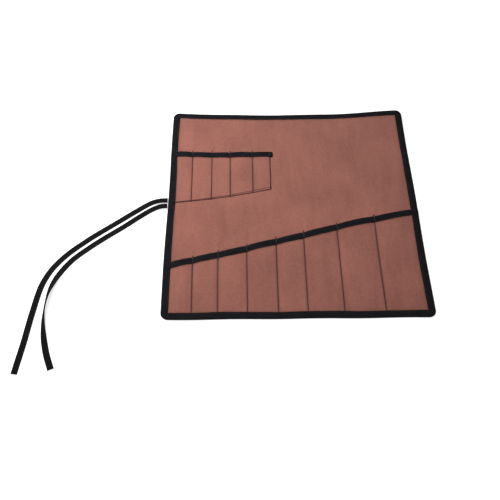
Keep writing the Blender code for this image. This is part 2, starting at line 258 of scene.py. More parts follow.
BRUSH_LINES = [LEFT + FOLD_WIDTH] + STITCHED + [RIGHT - FOLD_WIDTH]
SMALL_LINES = [LEFT + FOLD_WIDTH] + SMALL_STITCHES + [SMALL_END]


def puckers(lines, x, y):
    """Small ripples beside the stitched lines, where the thread draws the cloth in."""
    ripple = np.zeros_like(x)
    for number, line in enumerate(lines):
        away = np.abs(x - line)
        ripple += np.exp(-away / (5.0 * MM)) * np.sin(y / (2.1 * MM) + 1.7 * number)
    return 0.07 * MM * ripple


def front_under(settings, bank, x, y):
    """Height of the underside of a pocket front."""
    if bank == "brush":
        lines, seam, mouth = BRUSH_LINES, NEAR + FOLD_WIDTH, brush_mouth(x)
        fullness = settings.brush_fullness
    else:
        lines, seam, mouth = SMALL_LINES, small_seam(x), SMALL_MOUTH
        fullness = settings.small_fullness
    share = (y - seam) / (mouth - seam)
    rise = fullness * swell(lines, x) * smoothstep(share * 1.25)
    in_tape = smoothstep((y - mouth + 12.5 * MM) / (3.0 * MM))
    ripple = puckers(lines, x, y) * smoothstep((y - seam) / (8.0 * MM))
    return PANEL_TOP + TOUCH + rise + (TAPE + TOUCH) * in_tape + np.maximum(ripple, 0.0)


def panel_relief(x, y):
    """Creases that fan out of the top of each stitched line into the open panel."""
    relief = np.zeros_like(x)
    tops = [(line, brush_mouth(line) + 4.0 * MM, 1.0) for line in STITCHED]
    tops += [(line, SMALL_MOUTH + 3.0 * MM, 0.5) for line in SMALL_STITCHES]
    for number, (top_x, top_y, strength) in enumerate(tops):
        dx, dy = x - top_x, y - top_y
        away = np.sqrt(dx ** 2 + dy ** 2) + 0.001 * MM
        angle = np.arctan2(dx, dy)
        fan = np.cos(4.2 * angle + 0.9 * number) * np.exp(-(angle / 0.9) ** 2)
        reach = np.exp(-away / (17.0 * MM)) * smoothstep(away / (5.0 * MM))
        relief += strength * 0.8 * MM * fan * reach * smoothstep(dy / (3.0 * MM) + 0.5)
    return relief


def near_line(distance, width):
    return np.exp(-(distance / width) ** 2)


def painted_shade(bank, x, y):
    """Painted shade: darker cloth beside the stitched lines, along the pocket mouths and seams
    and in the corner along each tape, where shade would fall.
    """
    edge = np.minimum(np.minimum(x - LEFT, RIGHT - x), np.minimum(y - NEAR, FAR - y))
    shade = 0.4 * near_line(edge - FOLD_WIDTH, 1.8 * MM)
    shade = np.maximum(shade, 0.07 * near_line(edge - FOLD_WIDTH, 9.0 * MM))
    if bank == "panel":
        lines, mouth = [], None
        above = np.abs(y - brush_mouth(x))
        shade = np.maximum(shade, 0.3 * near_line(above, 1.6 * MM))
        beside = np.abs(y - SMALL_MOUTH) + 1000.0 * (x > SMALL_TAPE_END)
        shade = np.maximum(shade, 0.3 * near_line(beside, 1.6 * MM))
    elif bank == "brush":
        lines, mouth = STITCHED, brush_mouth(x)
    else:
        lines, mouth = SMALL_STITCHES + [SMALL_END], SMALL_MOUTH
        shade = np.maximum(shade, 0.3 * near_line(y - small_seam(x), 1.5 * MM))
    for line in lines:
        shade = np.maximum(shade, 0.9 * near_line(x - line, 1.1 * MM))
        shade = np.maximum(shade, 0.06 * near_line(x - line, 4.0 * MM))
    if mouth is not None:
        shade = np.maximum(shade, 0.35 * near_line(y - mouth + FOLD_WIDTH, 1.8 * MM))
    return shade


def stack_top(x, y):
    """Height of everything that the edge tape is folded over."""
    soft = 2.5 * MM

    def band(low, high):
        return smoothstep((y - low) / soft + 0.5) * smoothstep((high - y) / soft + 0.5)
    mouth = brush_mouth(x)
    fronts = band(NEAR - 1.0, mouth)
    mouths = band(mouth - FOLD_WIDTH, mouth)
    small = band(small_seam(x), SMALL_MOUTH) * (x < SMALL_END)
    small_mouths = band(SMALL_MOUTH - FOLD_WIDTH, SMALL_MOUTH) * (x < SMALL_END)
    layers = (CLOTH + TOUCH) * (fronts + small)
    layers = layers + 2.0 * (TAPE + TOUCH) * (mouths + small_mouths)
    return PANEL_TOP + layers


def sag(x, y):
    """How the mouths of the two banks hang out of line between their ends."""
    near_mouth = np.exp(-((y - brush_mouth(x) + 5.0 * MM) / (45.0 * MM)) ** 2)
    droop = -2.2 * MM * np.exp(-((x + 0.105) / 0.075) ** 2)
    droop += 1.6 * MM * np.exp(-((x - 0.085) / 0.05) ** 2)
    droop -= 1.2 * MM * np.exp(-((x - RIGHT) / 0.025) ** 2)
    share = np.clip((x - LEFT) / (SMALL_END - LEFT), 0.0, 1.4)
    small = np.exp(-((y - SMALL_MOUTH + 5.0 * MM) / (35.0 * MM)) ** 2)
    middle = np.exp(-((y - small_seam(x)) / (20.0 * MM)) ** 2)
    hang = np.clip(np.sin(math.pi * np.clip(share, 0.0, 1.0)), 0.0, 1.0)
    return droop * near_mouth - 2.0 * MM * hang * small - 3.0 * MM * hang * middle


def drape(settings, points):
    """Move flat points to where the case lies: a bowed far edge, slow waves and a far
    right corner that lifts off the floor."""
    x, y, z = points[:, 0].copy(), points[:, 1].copy(), points[:, 2].copy()
    across = np.clip(1.0 - (2.0 * x / WIDTH) ** 2, 0.0, 1.0)
    y_new = y - settings.bow * across * smoothstep((y + 0.05 * DEPTH) / (0.55 * DEPTH))
    y_new += 0.35 * MM * np.sin(x / (19.0 * MM)) * smoothstep(np.abs(y) / (DEPTH / 2))
    y_new += sag(x, y)
    x_new = x + 0.5 * MM * np.sin(y / (37.0 * MM) + 0.8) * smoothstep(np.abs(x) / (WIDTH / 2))
    slow = 1.0 + np.sin(x / (51.0 * MM) + 0.9) * np.sin(y / (58.0 * MM) + 0.4)
    quick = 1.0 + np.sin(x / (23.0 * MM) + y / (37.0 * MM) + 2.0)
    inside = smoothstep(np.minimum(RIGHT - np.abs(x), FAR - np.abs(y)) / (60.0 * MM))
    lift = settings.wave * (0.75 * slow + 0.3 * quick) * (0.25 + 0.75 * inside)
    corner = ((x - RIGHT) ** 2 + (y - FAR) ** 2) / (2.0 * (48.0 * MM) ** 2)
    lift += 3.0 * MM * np.exp(-corner)
    corner = ((x - LEFT) ** 2 + (y - FAR) ** 2) / (2.0 * (35.0 * MM) ** 2)
    lift += 0.8 * MM * np.exp(-corner)
    return np.stack([x_new, y_new, z + lift], axis=1)


# ---- meshes ------------------------------------------------------------------------
def finished_mesh(name, points, faces, uv, material, shade=None):
    """A closed smooth mesh with a flat-cloth UV map and its faces pointing out.  The
    shade is painted shade: 1 where the cloth is drawn in and lies in shade, and 0 where it is
    not."""
    data = bpy.data.meshes.new(name)
    data.from_pydata(np.asarray(points).tolist(), [], faces)
    layer = data.uv_layers.new(name="cloth")
    corners = np.empty(len(data.loops), dtype=np.int32)
    data.loops.foreach_get("vertex_index", corners)
    layer.data.foreach_set("uv", np.asarray(uv)[corners].ravel().astype(np.float32))
    if shade is not None:
        # painted shade, stored per point for the canvas colour
        painted_shade = data.attributes.new("shade", "FLOAT", "POINT")
        painted_shade.data.foreach_set("value", np.asarray(shade, dtype=np.float32))
    shape = bmesh.new()
    shape.from_mesh(data)
    bmesh.ops.recalc_face_normals(shape, faces=shape.faces)
    shape.to_mesh(data)
    shape.free()
    data.shade_smooth()
    data.set_sharp_from_angle(angle=math.radians(48.0))
    data.materials.append(material)
    piece = bpy.data.objects.new(name, data)
    bpy.context.scene.collection.objects.link(piece)
    return piece


def slab(x, y, low, high):
    """Points, faces and UVs of a cloth between two height fields on one (ny, nx) grid."""
    ny, nx = x.shape
    top = np.stack([x, y, high], axis=-1).reshape(-1, 3)
    bottom = np.stack([x, y, low], axis=-1).reshape(-1, 3)
    index = np.arange(ny * nx).reshape(ny, nx)
    quads = np.stack([index[:-1, :-1], index[:-1, 1:], index[1:, 1:], index[1:, :-1]], -1)
    quads = quads.reshape(-1, 4)
    faces = quads.tolist() + (quads[:, ::-1] + ny * nx).tolist()
    rim = np.concatenate([index[0, :], index[1:, -1], index[-1, -2::-1], index[-2:0:-1, 0]])
    nxt = np.roll(rim, -1)
    faces += np.stack([rim + ny * nx, nxt + ny * nx, nxt, rim], -1).tolist()
    points = np.concatenate([top, bottom])
    return points, faces, points[:, :2]


def sweep(rings, lengths, turns):
    """Points, faces and UVs of a solid through equal rings, capped at both ends."""
    rings = np.asarray(rings)
    count, size = rings.shape[:2]
    faces = []
    for i in range(count - 1):
        for j in range(size):
            k = (j + 1) % size
            faces.append((i * size + j, i * size + k, (i + 1) * size + k, (i + 1) * size + j))
    faces.append(tuple(range(size))[::-1])
    faces.append(tuple((count - 1) * size + j for j in range(size)))
    along = np.repeat(np.asarray(lengths), size)
    uv = np.stack([along, np.tile(np.asarray(turns), count)], axis=1)
    return rings.reshape(-1, 3), faces, uv


def joined(parts):
    """Several (points, faces, uv) shapes as one."""
    points, faces, uvs, offset = [], [], [], 0
    for part_points, part_faces, part_uv in parts:
        points.append(part_points)
        uvs.append(part_uv)
        faces += [tuple(i + offset for i in face) for face in part_faces]
        offset += len(part_points)
    return np.concatenate(points), faces, np.concatenate(uvs)


def spaced(start, end, step):
    return np.linspace(start, end, max(2, int(math.ceil(abs(end - start) / step)) + 1))


def with_stations(xs, lines):
    """The stations with one more on each stitched line and close beside it."""
    extra = [line + side for line in lines for side in (-1.0 * MM, 0.0, 1.0 * MM)]
    extra = [x for x in extra if xs[0] + 0.2 * MM < x < xs[-1] - 0.2 * MM]
    keep = [x for x in xs if all(abs(x - e) > 0.5 * MM for e in extra)]
    return np.array(sorted(keep + extra))


def fold_blend(piece):
    """Bake the piece's transform into its mesh."""
    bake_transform(piece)


def stand_for(kind, index, last):
    """The piece stands for the frame's column of that kind, the last piece for two."""
    nodes = [kind + str(index + 1)]
    if index == last:
        nodes.append(kind + str(index + 2))
    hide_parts(*nodes)


# ---- materials ---------------------------------------------------------------------
def new_material(name, colour, roughness, sheen):
    material = bpy.data.materials.new(name)
    material.use_nodes = True
    tree = material.node_tree
    shader = tree.nodes["Principled BSDF"]
    shader.inputs["Base Color"].default_value = (*colour, 1.0)
    shader.inputs["Roughness"].default_value = roughness
    shader.inputs["Specular IOR Level"].default_value = 0.3
    shader.inputs["Sheen Weight"].default_value = sheen
    shader.inputs["Sheen Roughness"].default_value = 0.45
    return material, tree, shader


def node(tree, kind, **values):
    made = tree.nodes.new(kind)
    for key, value in values.items():
        setattr(made, key, value)
    return made


def math_node(tree, operation, first, second):
    made = node(tree, "ShaderNodeMath", operation=operation)
    for socket, value in zip(made.inputs, (first, second)):
        if isinstance(value, float):
            socket.default_value = value
        else:
            tree.links.new(value, socket)
    return made.outputs[0]


def bands(tree, vector, direction, pitch, distortion=0.0):
    """Parallel threads, one every pitch along a direction of the UV map."""
    wave = node(tree, "ShaderNodeTexWave", bands_direction=direction)
    wave.inputs["Scale"].default_value = math.pi / (10.0 * pitch)
    wave.inputs["Distortion"].default_value = distortion
    wave.inputs["Detail"].default_value = 1.0
    tree.links.new(vector, wave.inputs["Vector"])
    return wave.outputs["Fac"]


def noise(tree, vector, scale, detail=3.0):
    made = node(tree, "ShaderNodeTexNoise")
    made.inputs["Scale"].default_value = scale
    made.inputs["Detail"].default_value = detail
    tree.links.new(vector, made.inputs["Vector"])
    return made.outputs["Fac"]


def stretched(tree, vector, scale):
    made = node(tree, "ShaderNodeMapping")
    made.inputs["Scale"].default_value = scale
    tree.links.new(vector, made.inputs["Vector"])
    return made.outputs["Vector"]


def tinted(tree, colour, factor, darker, lighter):
    """The colour between a darker and a lighter share of itself, by the factor."""
    ramp = node(tree, "ShaderNodeValToRGB")
    ramp.color_ramp.elements[0].color = (*[c * darker for c in colour], 1.0)
    ramp.color_ramp.elements[1].color = (*[c * lighter for c in colour], 1.0)
    ramp.color_ramp.elements[0].position = 0.25
    ramp.color_ramp.elements[1].position = 0.75
    tree.links.new(factor, ramp.inputs["Fac"])
    return ramp.outputs["Color"]


def blended(tree, factor, first, second):
    """The first colour, covered with the second one by the factor."""
    mix = node(tree, "ShaderNodeMix", data_type="RGBA")
    mix.inputs[7].default_value = (*second, 1.0)
    tree.links.new(factor, mix.inputs[0])
    tree.links.new(first, mix.inputs[6])
    return mix.outputs[2]


def weighted(tree, parts):
    """Sum of (socket, weight) pairs."""
    total = 0.0
    for socket, weight in parts:
        total = math_node(tree, "ADD", math_node(tree, "MULTIPLY", socket, weight), total)
    return total


def add_bump(tree, shader, height, distance, strength):
    bump = node(tree, "ShaderNodeBump")
    bump.inputs["Distance"].default_value = distance
    bump.inputs["Strength"].default_value = strength
    tree.links.new(height, bump.inputs["Height"])
    tree.links.new(bump.outputs["Normal"], shader.inputs["Normal"])


def canvas_material(settings):
    """Plain-woven canvas with uneven threads, faded patches, a few pale flecks and painted shade
    from the shade attribute.
    """
    material, tree, shader = new_material("woven_canvas", settings.colour, 0.82, 0.2)
    uv = node(tree, "ShaderNodeUVMap", uv_map="cloth").outputs["UV"]
    warp = bands(tree, uv, "X", settings.thread, 0.6)
    weft = bands(tree, uv, "Y", settings.thread * 0.9, 0.6)
    weave = math_node(tree, "MULTIPLY", math_node(tree, "ADD", warp, weft), 0.5)
    slubs = noise(tree, stretched(tree, uv, (1.0, 0.08, 1.0)), 900.0, 2.0)
    cross_slubs = noise(tree, stretched(tree, uv, (0.08, 1.0, 1.0)), 900.0, 2.0)
    streaks = noise(tree, stretched(tree, uv, (1.0, 0.22, 1.0)), 75.0, 4.0)
    patches = noise(tree, uv, 13.0, 4.0)
    mottle = noise(tree, uv, 230.0, 4.0)
    mixed = weighted(tree, ((patches, 0.374), (streaks, 0.242), (mottle, 0.264),
                            (weave, 0.11), (slubs, 0.066), (cross_slubs, 0.044)))
    mixed = math_node(tree, "SUBTRACT", mixed, 0.05)
    colour = tinted(tree, settings.colour, mixed, 0.66, 1.42)
    flecks = noise(tree, uv, 1900.0, 1.0)
    worn = node(tree, "ShaderNodeMapRange")
    worn.inputs["From Min"].default_value = 0.72
    worn.inputs["From Max"].default_value = 0.78
    worn.inputs["To Max"].default_value = 0.35
    tree.links.new(flecks, worn.inputs["Value"])
    faded = blended(tree, worn.outputs["Result"], colour, PALE_LINT)
    # painted shade: where the shade attribute is high the canvas colour is darkened, standing in
    # for shade beside lines, mouths and tapes
    shade = node(tree, "ShaderNodeAttribute", attribute_name="shade").outputs["Fac"]
    shaded_colour = blended(tree, shade, faded, [SHADE_BRIGHTNESS * c for c in settings.colour])
    tree.links.new(shaded_colour, shader.inputs["Base Color"])
    height = weighted(tree, ((weave, 1.0), (slubs, 0.7), (cross_slubs, 0.5),
                             (mottle, 1.4), (streaks, 3.0)))
    add_bump(tree, shader, height, 0.3 * MM, 0.7)
    return material


def tape_material(name, colour, rib_pitch, sheen):
    """Woven tape: fine ribs across it, a twill line and slightly worn, dusty patches."""
    material, tree, shader = new_material(name, colour, 0.78, sheen)
    shader.inputs["Specular IOR Level"].default_value = 0.06
    uv = node(tree, "ShaderNodeUVMap", uv_map="cloth").outputs["UV"]
    ribs = bands(tree, uv, "X", rib_pitch, 0.3)
    twill = bands(tree, uv, "DIAGONAL", rib_pitch * 1.3, 0.3)
    dust = noise(tree, uv, 60.0, 5.0)
    fuzz = noise(tree, uv, 1400.0, 2.0)
    mixed = weighted(tree, ((dust, 0.7), (ribs, 0.3)))
    colour_out = tinted(tree, colour, mixed, 0.7, 1.5)
    tree.links.new(colour_out, shader.inputs["Base Color"])
    height = weighted(tree, ((ribs, 1.0), (twill, 0.5), (fuzz, 0.8)))
    add_bump(tree, shader, height, 0.2 * MM, 0.6)
    return material


def thread_material(name, colour):
    """Twisted sewing thread: plies that run round each stitch."""
    material, tree, shader = new_material(name, colour, 0.55, 0.15)
    place = node(tree, "ShaderNodeTexCoord").outputs["Object"]
    plies = bands(tree, place, "DIAGONAL", 0.35 * MM, 1.0)
    colour_out = tinted(tree, colour, plies, 0.7, 1.35)
    tree.links.new(colour_out, shader.inputs["Base Color"])
    add_bump(tree, shader, plies, 0.1 * MM, 0.6)
    return material


def shared(name, maker, *values):
    """The material of that name, made the first time that it is asked for."""
    return bpy.data.materials.get(name) or maker(*values)


def canvas_of(scene):
    return shared("woven_canvas", canvas_material, scene.roll_canvas)


def tape_of(scene):
    return shared("woven_binding", tape_material, "woven_binding",
                  tuple(scene.roll_tape.colour), 0.75 * MM, 0.02)


# ---- tape sections -----------------------------------------------------------------
def tape_section(height, dome, groove):
    """(inward, up) points round a tape folded over an edge.  Inward is measured from the
    fold and up from the tape's underside, with the layers held apart by the cloth."""
    w = FOLD_WIDTH
    inner = height - TAPE
    return [
        (w, 0.0), (0.6 * w, 0.0), (0.3 * w, 0.0), (0.1 * w, 0.03 * height),
        (0.03 * w, 0.16 * height), (0.0, 0.5 * height), (0.03 * w, 0.84 * height),
        (0.1 * w, height), (0.22 * w, height + 0.6 * dome), (0.42 * w, height + dome),
        (0.62 * w, height + 0.7 * dome), (0.76 * w, height), (0.84 * w, height - groove),
        (0.91 * w, height + 0.1 * dome), (0.97 * w, height + 0.05 * dome),
        (w, height - 0.3 * TAPE), (w, inner), (0.84 * w, inner - groove * 0.5),
        (0.5 * w, inner), (0.12 * w, inner), (0.12 * w, TAPE), (0.5 * w, TAPE), (w, TAPE),
    ]


def section_turns(section):
    """Distance round the section to each of its points, for the UV map."""
    turns = [0.0]
    for a, b in zip(section, section[1:]):
        turns.append(turns[-1] + math.dist(a, b))
    return turns


def tape_ring(x, y, inward, tape, ridge=0.0):
    """Section of the edge tape where its outer edge passes (x, y)."""
    ring = []
    probe = np.array([x]) + inward[0] * 6.0 * MM, np.array([y]) + inward[1] * 6.0 * MM
    height = float(stack_top(*probe)[0]) + TOUCH + TAPE
    place = x * abs(inward[1]) + y * abs(inward[0])
    wobble = 0.02 * math.sin(place / (23.0 * MM)) + 0.012 * math.sin(place / (9.0 * MM) + 1.0)
    for u, up in tape_section(height, tape.dome, tape.groove):
        wide = 1.0 + wobble * (up > 0.6 * height)
        px, py = x + inward[0] * u * wide, y + inward[1] * u * wide
        raised = up + (ridge * min(1.0, u / (3.0 * MM)) if up > 0.6 * height else 0.0)
        ring.append((px, py, raised))
    return ring


def straight_run(start, end, inward, step=2.0 * MM):
    """(x, y, inward, corner share) along one straight edge."""
    count = max(2, int(math.ceil(math.dist(start, end) / step)) + 1)
    run = []
    for i in range(count):
        t = i / (count - 1)
        run.append((start[0] + (end[0] - start[0]) * t, start[1] + (end[1] - start[1]) * t,
                    inward, None))
    return run


def corner_run(cx, cy, start_angle, sweep_angle, steps=20):
    run = []
    for i in range(1, steps):
        share = i / steps
        angle = math.radians(start_angle + sweep_angle * share)
        out = (math.cos(angle), math.sin(angle))
        run.append((cx + CORNER_RADIUS * out[0], cy + CORNER_RADIUS * out[1],
                    (-out[0], -out[1]), share))
    return run


def end_run(side, middle):
    """The run round the left (-1) or right (1) end of the case, from the far edge's
    middle line, round both corners and back along the near edge."""
    outer = LEFT if side < 0 else RIGHT
    cx = outer - side * CORNER_RADIUS
    far_cy, near_cy = FAR - CORNER_RADIUS, NEAR + CORNER_RADIUS
    run = straight_run((middle, FAR), (cx, FAR), (0.0, -1.0))
    run += corner_run(cx, far_cy, 90.0, -90.0 * side)
    run += straight_run((outer, far_cy), (outer, near_cy), (-side, 0.0))
    run += corner_run(cx, near_cy, 0.0 if side > 0 else 180.0, -90.0 * side)
    run += straight_run((cx, NEAR), (middle, NEAR), (0.0, 1.0))
    return run


def swept_tape(run, tape):
    rings, lengths = [], [0.0]
    for i, (x, y, inward, corner) in enumerate(run):
        ridge = 0.0
        if corner is not None:
            ridge = 0.55 * MM * math.exp(-((corner - 0.46) / 0.12) ** 2)
        rings.append(tape_ring(x, y, inward, tape, ridge))
        if i:
            lengths.append(lengths[-1] + math.dist(run[i - 1][:2], (x, y)))
    turns = section_turns(tape_section(2.5 * MM, tape.dome, tape.groove))
    return sweep(rings, lengths, turns)


def mouth_tape(pockets, tape, bank, x0, x1):
    """Tape folded over a pocket mouth between x0 and x1."""
    def mouth(x):
        return brush_mouth(x) if bank == "brush" else SMALL_MOUTH
    xs = spaced(x0, x1, 1.8 * MM)
    rings = []
    for x in xs:
        under = front_under(pockets, bank, np.array([x]), np.array([mouth(x) - 5.0 * MM]))
        low = float(under[0]) - TOUCH - TAPE
        height = CLOTH + 2.0 * (TAPE + TOUCH)
        section = tape_section(height, tape.dome, tape.groove)
        wide = 1.0 + 0.022 * math.sin(x / (17.0 * MM)) + 0.013 * math.sin(x / (7.0 * MM) + 1.0)
        rings.append([(x, mouth(x) - u * wide, low + up) for u, up in section])
    return sweep(rings, xs, section_turns(section))


# ---- stitches ----------------------------------------------------------------------
def stitch_tree():
    """Geometry Nodes that lay one stitch every pitch along the edges of a mesh."""
    name = "stitches_along_lines"
    if name in bpy.data.node_groups:
        return bpy.data.node_groups[name]
    tree = bpy.data.node_groups.new(name, "GeometryNodeTree")
    face = tree.interface
    face.new_socket("Geometry", in_out="INPUT", socket_type="NodeSocketGeometry")
    for title in ("Pitch", "Length", "Thickness"):
        face.new_socket(title, in_out="INPUT", socket_type="NodeSocketFloat")
    face.new_socket("Thread", in_out="INPUT", socket_type="NodeSocketMaterial")
    face.new_socket("Geometry", in_out="OUTPUT", socket_type="NodeSocketGeometry")
    entry = tree.nodes.new("NodeGroupInput")
    leave = tree.nodes.new("NodeGroupOutput")
    to_curve = tree.nodes.new("GeometryNodeMeshToCurve")
    resample = tree.nodes.new("GeometryNodeResampleCurve")
    resample.mode = "LENGTH"
    ball = tree.nodes.new("GeometryNodeMeshUVSphere")
    ball.inputs["Segments"].default_value = 7
    ball.inputs["Rings"].default_value = 5
    ball.inputs["Radius"].default_value = 0.5
    scale = tree.nodes.new("ShaderNodeCombineXYZ")
    shape = tree.nodes.new("GeometryNodeTransform")
    tangent = tree.nodes.new("GeometryNodeInputTangent")
    align = tree.nodes.new("FunctionNodeAlignRotationToVector")
    align.axis = "X"
    place = tree.nodes.new("GeometryNodeInstanceOnPoints")
    realize = tree.nodes.new("GeometryNodeRealizeInstances")
    finish = tree.nodes.new("GeometryNodeSetMaterial")
    smooth = tree.nodes.new("GeometryNodeSetShadeSmooth")
    for a, b in (
            (entry.outputs["Geometry"], to_curve.inputs["Mesh"]),
            (to_curve.outputs["Curve"], resample.inputs["Curve"]),
            (entry.outputs["Pitch"], resample.inputs["Length"]),
            (entry.outputs["Length"], scale.inputs["X"]),
            (entry.outputs["Thickness"], scale.inputs["Y"]),
            (entry.outputs["Thickness"], scale.inputs["Z"]),
            (ball.outputs["Mesh"], shape.inputs["Geometry"]),
            (scale.outputs["Vector"], shape.inputs["Scale"]),
            (tangent.outputs["Tangent"], align.inputs["Vector"]),
            (resample.outputs["Curve"], place.inputs["Points"]),
            (shape.outputs["Geometry"], place.inputs["Instance"]),
            (align.outputs["Rotation"], place.inputs["Rotation"]),
            (place.outputs["Instances"], realize.inputs["Geometry"]),
            (realize.outputs["Geometry"], smooth.inputs["Geometry"]),
            (smooth.outputs["Geometry"], finish.inputs["Geometry"]),
            (entry.outputs["Thread"], finish.inputs["Material"]),
            (finish.outputs["Geometry"], leave.inputs["Geometry"])):
        tree.links.new(a, b)
    return tree


def sewn(name, lines, pitch, length, thickness, thread):
    """Stitches along polylines, as one plain mesh."""
    points, edges = [], []
    for line in lines:
        start = len(points)
        points += [tuple(point) for point in line]
        edges += [(start + i, start + i + 1) for i in range(len(line) - 1)]
    data = bpy.data.meshes.new(name + "_lines")
    data.from_pydata(points, edges, [])
    guide = bpy.data.objects.new(name + "_lines", data)
    bpy.context.scene.collection.objects.link(guide)
    modifier = guide.modifiers.new("stitches", "NODES")
    tree = stitch_tree()
    modifier.node_group = tree
    sockets = {item.name: item.identifier for item in tree.interface.items_tree
               if item.in_out == "INPUT"}
    modifier[sockets["Pitch"]] = pitch
    modifier[sockets["Length"]] = length
    modifier[sockets["Thickness"]] = thickness
    modifier[sockets["Thread"]] = thread
    bpy.context.view_layer.update()
    evaluated = guide.evaluated_get(bpy.context.evaluated_depsgraph_get())
    mesh_data = bpy.data.meshes.new_from_object(evaluated)
    if not mesh_data.polygons:
        raise RuntimeError(name + " has no stitches")
    piece = bpy.data.objects.new(name, mesh_data)
    bpy.context.scene.collection.objects.link(piece)
    bpy.data.objects.remove(guide, do_unlink=True)
    return piece


def top_of_case(pockets, tape, x, y):
    """Height of the uppermost cloth or tape inside the edge tape."""
    height = PANEL_TOP + panel_relief(x, y)
    for bank, seam, mouth, end in (
            ("brush", NEAR, brush_mouth(x), RIGHT),
            ("small", small_seam(x), np.full_like(x, SMALL_MOUTH), SMALL_END)):
        front = front_under(pockets, bank, x, y) + CLOTH
        inside = (y > seam) & (y < mouth) & (x <= end)
        height = np.where(inside, front, height)
        in_tape = inside & (y > mouth - FOLD_WIDTH)
        height = np.where(in_tape, front + TOUCH + TAPE + 0.7 * tape.dome, height)
    return height


def surface_line(scene, xs, ys, above):
    """A polyline on the case's upper surface, draped as the cloth is."""
    xs = np.asarray(xs, dtype=float)
    ys = np.asarray(ys, dtype=float)
    z = top_of_case(scene.roll_pockets, scene.roll_tape, xs, ys) + above
    return drape(scene.roll_canvas, np.stack([xs, ys, z], axis=1))


def pieces_of_line(xs, ys, index):
    """The stretches of a line from left to right that lie on piece number index."""
    low, high = PIECE_EDGES[index], PIECE_EDGES[index + 1]
    keep = (xs >= low - 1e-9) & (xs < high)
    if keep.sum() < 2:
        return []
    return [(xs[keep], ys[keep])]


def holds(index, x):
    return PIECE_EDGES[index] <= x < PIECE_EDGES[index + 1]


# ---- operators ---------------------------------------------------------------------
class ROLL_OT_canvas_panel(bpy.types.Operator):
    """Add the canvas back panel, in one piece for each fold"""
    bl_idname = "roll.canvas_panel"
    bl_label = "Canvas panel"

    def execute(self, context):
        canvas = context.scene.roll_canvas
        for index in range(PIECES):
            low, high = PIECE_EDGES[index], PIECE_EDGES[index + 1]
            x0 = low + (EDGE_WALL if index == 0 else 0.0)
            x1 = high - (EDGE_WALL if index == PIECES - 1 else 0.0)
            x, y = np.meshgrid(spaced(x0, x1, canvas.grid),
                               spaced(NEAR + EDGE_WALL, FAR - EDGE_WALL, canvas.grid))
            x, y = inside_corners(x, y)
            relief = panel_relief(x, y)
            points, faces, uv = slab(x, y, PANEL_LOW + relief, PANEL_TOP + relief)
            # the last argument is painted shade for the canvas colour
            piece = finished_mesh("canvas_panel_%d" % (index + 1),
                                  drape(canvas, points), faces, uv, canvas_of(context.scene),
                                  painted_shade("panel", points[:, 0], points[:, 1]))
            stand_for("back_panel_", index, PIECES - 1)
            fold_blend(piece)
        return {"FINISHED"}


def inside_corners(x, y):
    """Draw grid points outside the rounded corners in onto them."""
    radius = CORNER_RADIUS - EDGE_WALL
    cx = np.clip(x, LEFT + CORNER_RADIUS, RIGHT - CORNER_RADIUS)
    cy = np.clip(y, NEAR + CORNER_RADIUS, FAR - CORNER_RADIUS)
    dx, dy = x - cx, y - cy
    away = np.sqrt(dx ** 2 + dy ** 2)
    shrink = np.where(away > radius, radius / np.maximum(away, 1e-9), 1.0)
    return cx + dx * shrink, cy + dy * shrink


def add_front(scene, bank, index, x0, x1):
    """One piece of a bank's pocket front, from its seam up into its mouth tape."""
    canvas, pockets = scene.roll_canvas, scene.roll_pockets
    lines = STITCHED if bank == "brush" else SMALL_STITCHES
    xs = with_stations(spaced(x0, x1, 0.8 * canvas.grid), lines)
    if bank == "brush":
        seam = np.full_like(xs, NEAR + EDGE_WALL)
        mouth = brush_mouth(xs)
    else:
        seam = small_seam(xs)
        mouth = np.full_like(xs, SMALL_MOUTH)
    mouth = mouth - 0.14 * FOLD_WIDTH
    rows = len(spaced(0.0, float((mouth - seam).max()), 0.8 * canvas.grid))
    share = np.linspace(0.0, 1.0, rows)[:, None]
    y = seam[None, :] + share * (mouth - seam)[None, :]
    x = np.repeat(xs[None, :], rows, axis=0)
    if bank == "brush":
        x, y = inside_corners(x, y)
    under = front_under(pockets, bank, x, y)
    points, faces, uv = slab(x, y, under, under + CLOTH)
    uv = uv + np.array([0.0, 1.0 if bank == "brush" else 2.0])
    # the last argument is painted shade for the canvas colour
    piece = finished_mesh("%s_pocket_front_cloth_%d" % (bank, index + 1),
                          drape(canvas, points), faces, uv, canvas_of(scene),
                          painted_shade(bank, points[:, 0], points[:, 1]))
    fold_blend(piece)
    return piece


class ROLL_OT_brush_pockets(bpy.types.Operator):
    """Add the fronts and the mouth tape of the brush pockets"""
    bl_idname = "roll.brush_pockets"
    bl_label = "Brush pockets"

    def execute(self, context):
        scene = context.scene
        for index in range(PIECES):
            low, high = PIECE_EDGES[index], PIECE_EDGES[index + 1]
            first, last = index == 0, index == PIECES - 1
            x0 = low + (EDGE_WALL if first else 0.0)
            x1 = high - (EDGE_WALL if last else 0.0)
            front = add_front(scene, "brush", index, x0, x1)
            stand_for("brush_pocket_front_", index, PIECES - 1)
            x0 = low + (FOLD_WIDTH - UNDER_TAPE if first else 0.0)
            x1 = high - (FOLD_WIDTH - UNDER_TAPE if last else 0.0)
            points, faces, uv = mouth_tape(scene.roll_pockets, scene.roll_tape, "brush", x0, x1)
            tape = finished_mesh("brush_mouth_tape_cloth_%d" % (index + 1),
                                 drape(scene.roll_canvas, points), faces, uv, tape_of(scene))
            stand_for("brush_pocket_mouth_tape_", index, PIECES - 1)
            fold_blend(tape)
        return {"FINISHED"}


